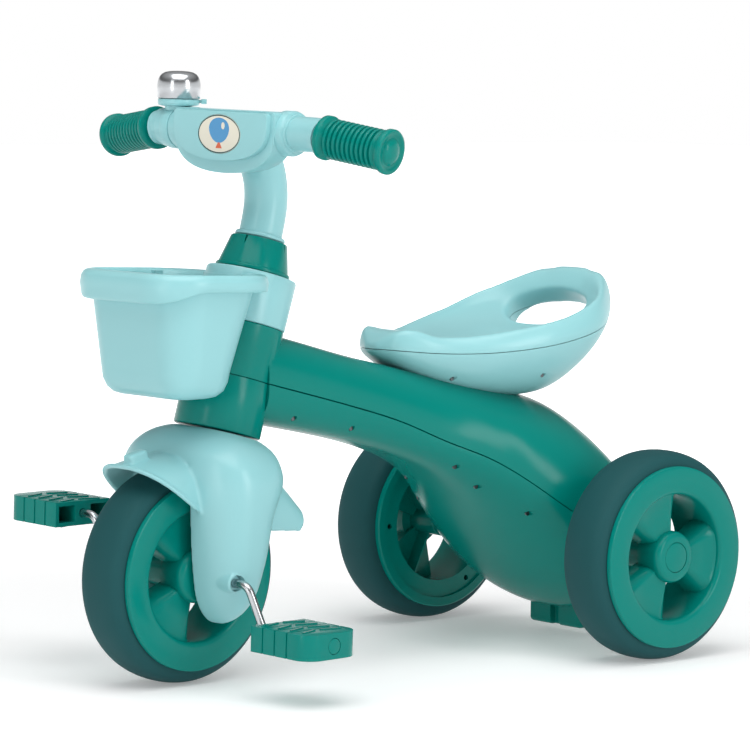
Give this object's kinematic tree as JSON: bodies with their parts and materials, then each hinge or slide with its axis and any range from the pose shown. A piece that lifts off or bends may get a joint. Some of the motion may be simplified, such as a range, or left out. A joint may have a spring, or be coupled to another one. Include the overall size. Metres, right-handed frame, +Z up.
{
  "type": "children's tricycle",
  "caption": "Children's tricycle with a front pedal drive, a raked steering column, a handlebar with grips and a bell, a front basket and a moulded seat with a hand hole.",
  "frame": {"origin": "on the floor, under the middle of the bounding box", "axes": "+X forwards, towards the front wheel; +Y to the rider's left; +Z up"},
  "size_m": [0.6738, 0.414, 0.5813],
  "materials": {
    "aqua": "glossy moulded plastic, pale aqua",
    "green": "glossy moulded plastic, sea green",
    "tyre": "matte foam tyre, dark teal",
    "label": "printed plastic film, cream",
    "chrome": "polished chrome plate",
    "steel": "zinc plated steel"
  },
  "bodies": {
    "frame": {"upper_body_shell": "green", "lower_body_shell": "green", "seat_top_shell": "aqua", "seat_bottom_shell": "aqua", "body_screw_left_1": "steel", "body_screw_left_2": "steel", "body_screw_left_3": "steel", "body_screw_left_4": "steel", "body_screw_left_5": "steel", "body_screw_right_1": "steel", "body_screw_right_2": "steel", "body_screw_right_3": "steel", "body_screw_right_4": "steel", "body_screw_right_5": "steel", "seat_screw_left_1": "steel", "seat_screw_left_2": "steel", "seat_screw_right_1": "steel", "seat_screw_right_2": "steel", "basket": "aqua", "steering_collar": "green", "rear_axle": "steel", "left_axle_retainer": "steel", "right_axle_retainer": "steel"},
    "steering": {"front_fork": "aqua", "left_crank_bush": "aqua", "right_crank_bush": "aqua", "handlebar": "aqua", "handlebar_shield": "aqua", "shield_label": "label", "shield_screw_left": "steel", "shield_screw_right": "steel", "left_grip": "green", "right_grip": "green", "bell_base": "aqua", "bell_dome": "chrome"},
    "front_wheel": {"front_rim": "green", "front_tyre": "tyre", "crank_rod": "chrome"},
    "left_pedal_body": {"left_pedal": "green", "left_pedal_cap": "green"},
    "right_pedal_body": {"right_pedal": "green", "right_pedal_cap": "green"},
    "left_rear_wheel": {"left_rear_rim": "green", "left_rear_tyre": "tyre", "left_hub_cap": "green"},
    "right_rear_wheel": {"right_rear_rim": "green", "right_rear_tyre": "tyre", "right_hub_cap": "green"},
    "bell_lever_body": {"bell_lever": "aqua"}
  },
  "joints": [
    {"name": "steering", "type": "hinge", "parent": "frame", "child": "steering", "pos_m": [0.1864, 0, 0.2377], "axis": [-0.2672, 0, 0.9636], "range_deg": [-44.5, 35.5]},
    {"name": "front_wheel_spin", "type": "hinge", "parent": "steering", "child": "front_wheel", "pos_m": [0.23247, 0.0007, 0.10505], "axis": [-0.0756, 0.9969, -0.021], "continuous": true},
    {"name": "left_pedal_spin", "type": "hinge", "parent": "front_wheel", "child": "left_pedal_body", "pos_m": [0.21053, 0.16658, 0.05855], "axis": [-0.0756, 0.9969, -0.021], "continuous": true},
    {"name": "right_pedal_spin", "type": "hinge", "parent": "front_wheel", "child": "right_pedal_body", "pos_m": [0.25441, -0.16517, 0.15156], "axis": [-0.0756, 0.9969, -0.021], "continuous": true},
    {"name": "left_rear_wheel_spin", "type": "hinge", "parent": "frame", "child": "left_rear_wheel", "pos_m": [-0.2325, 0.174, 0.105], "axis": [0, 1, 0], "continuous": true},
    {"name": "right_rear_wheel_spin", "type": "hinge", "parent": "frame", "child": "right_rear_wheel", "pos_m": [-0.2325, -0.174, 0.105], "axis": [0, 1, 0], "continuous": true},
    {"name": "bell_lever_push", "type": "hinge", "parent": "steering", "child": "bell_lever_body", "pos_m": [0.16115, -0.07793, 0.55468], "axis": [-0.0008, 0.021, 0.9998], "range_deg": [0, 15], "stiffness_Nm_per_rad": 0.02, "springref_deg": -11.46}
  ]
}
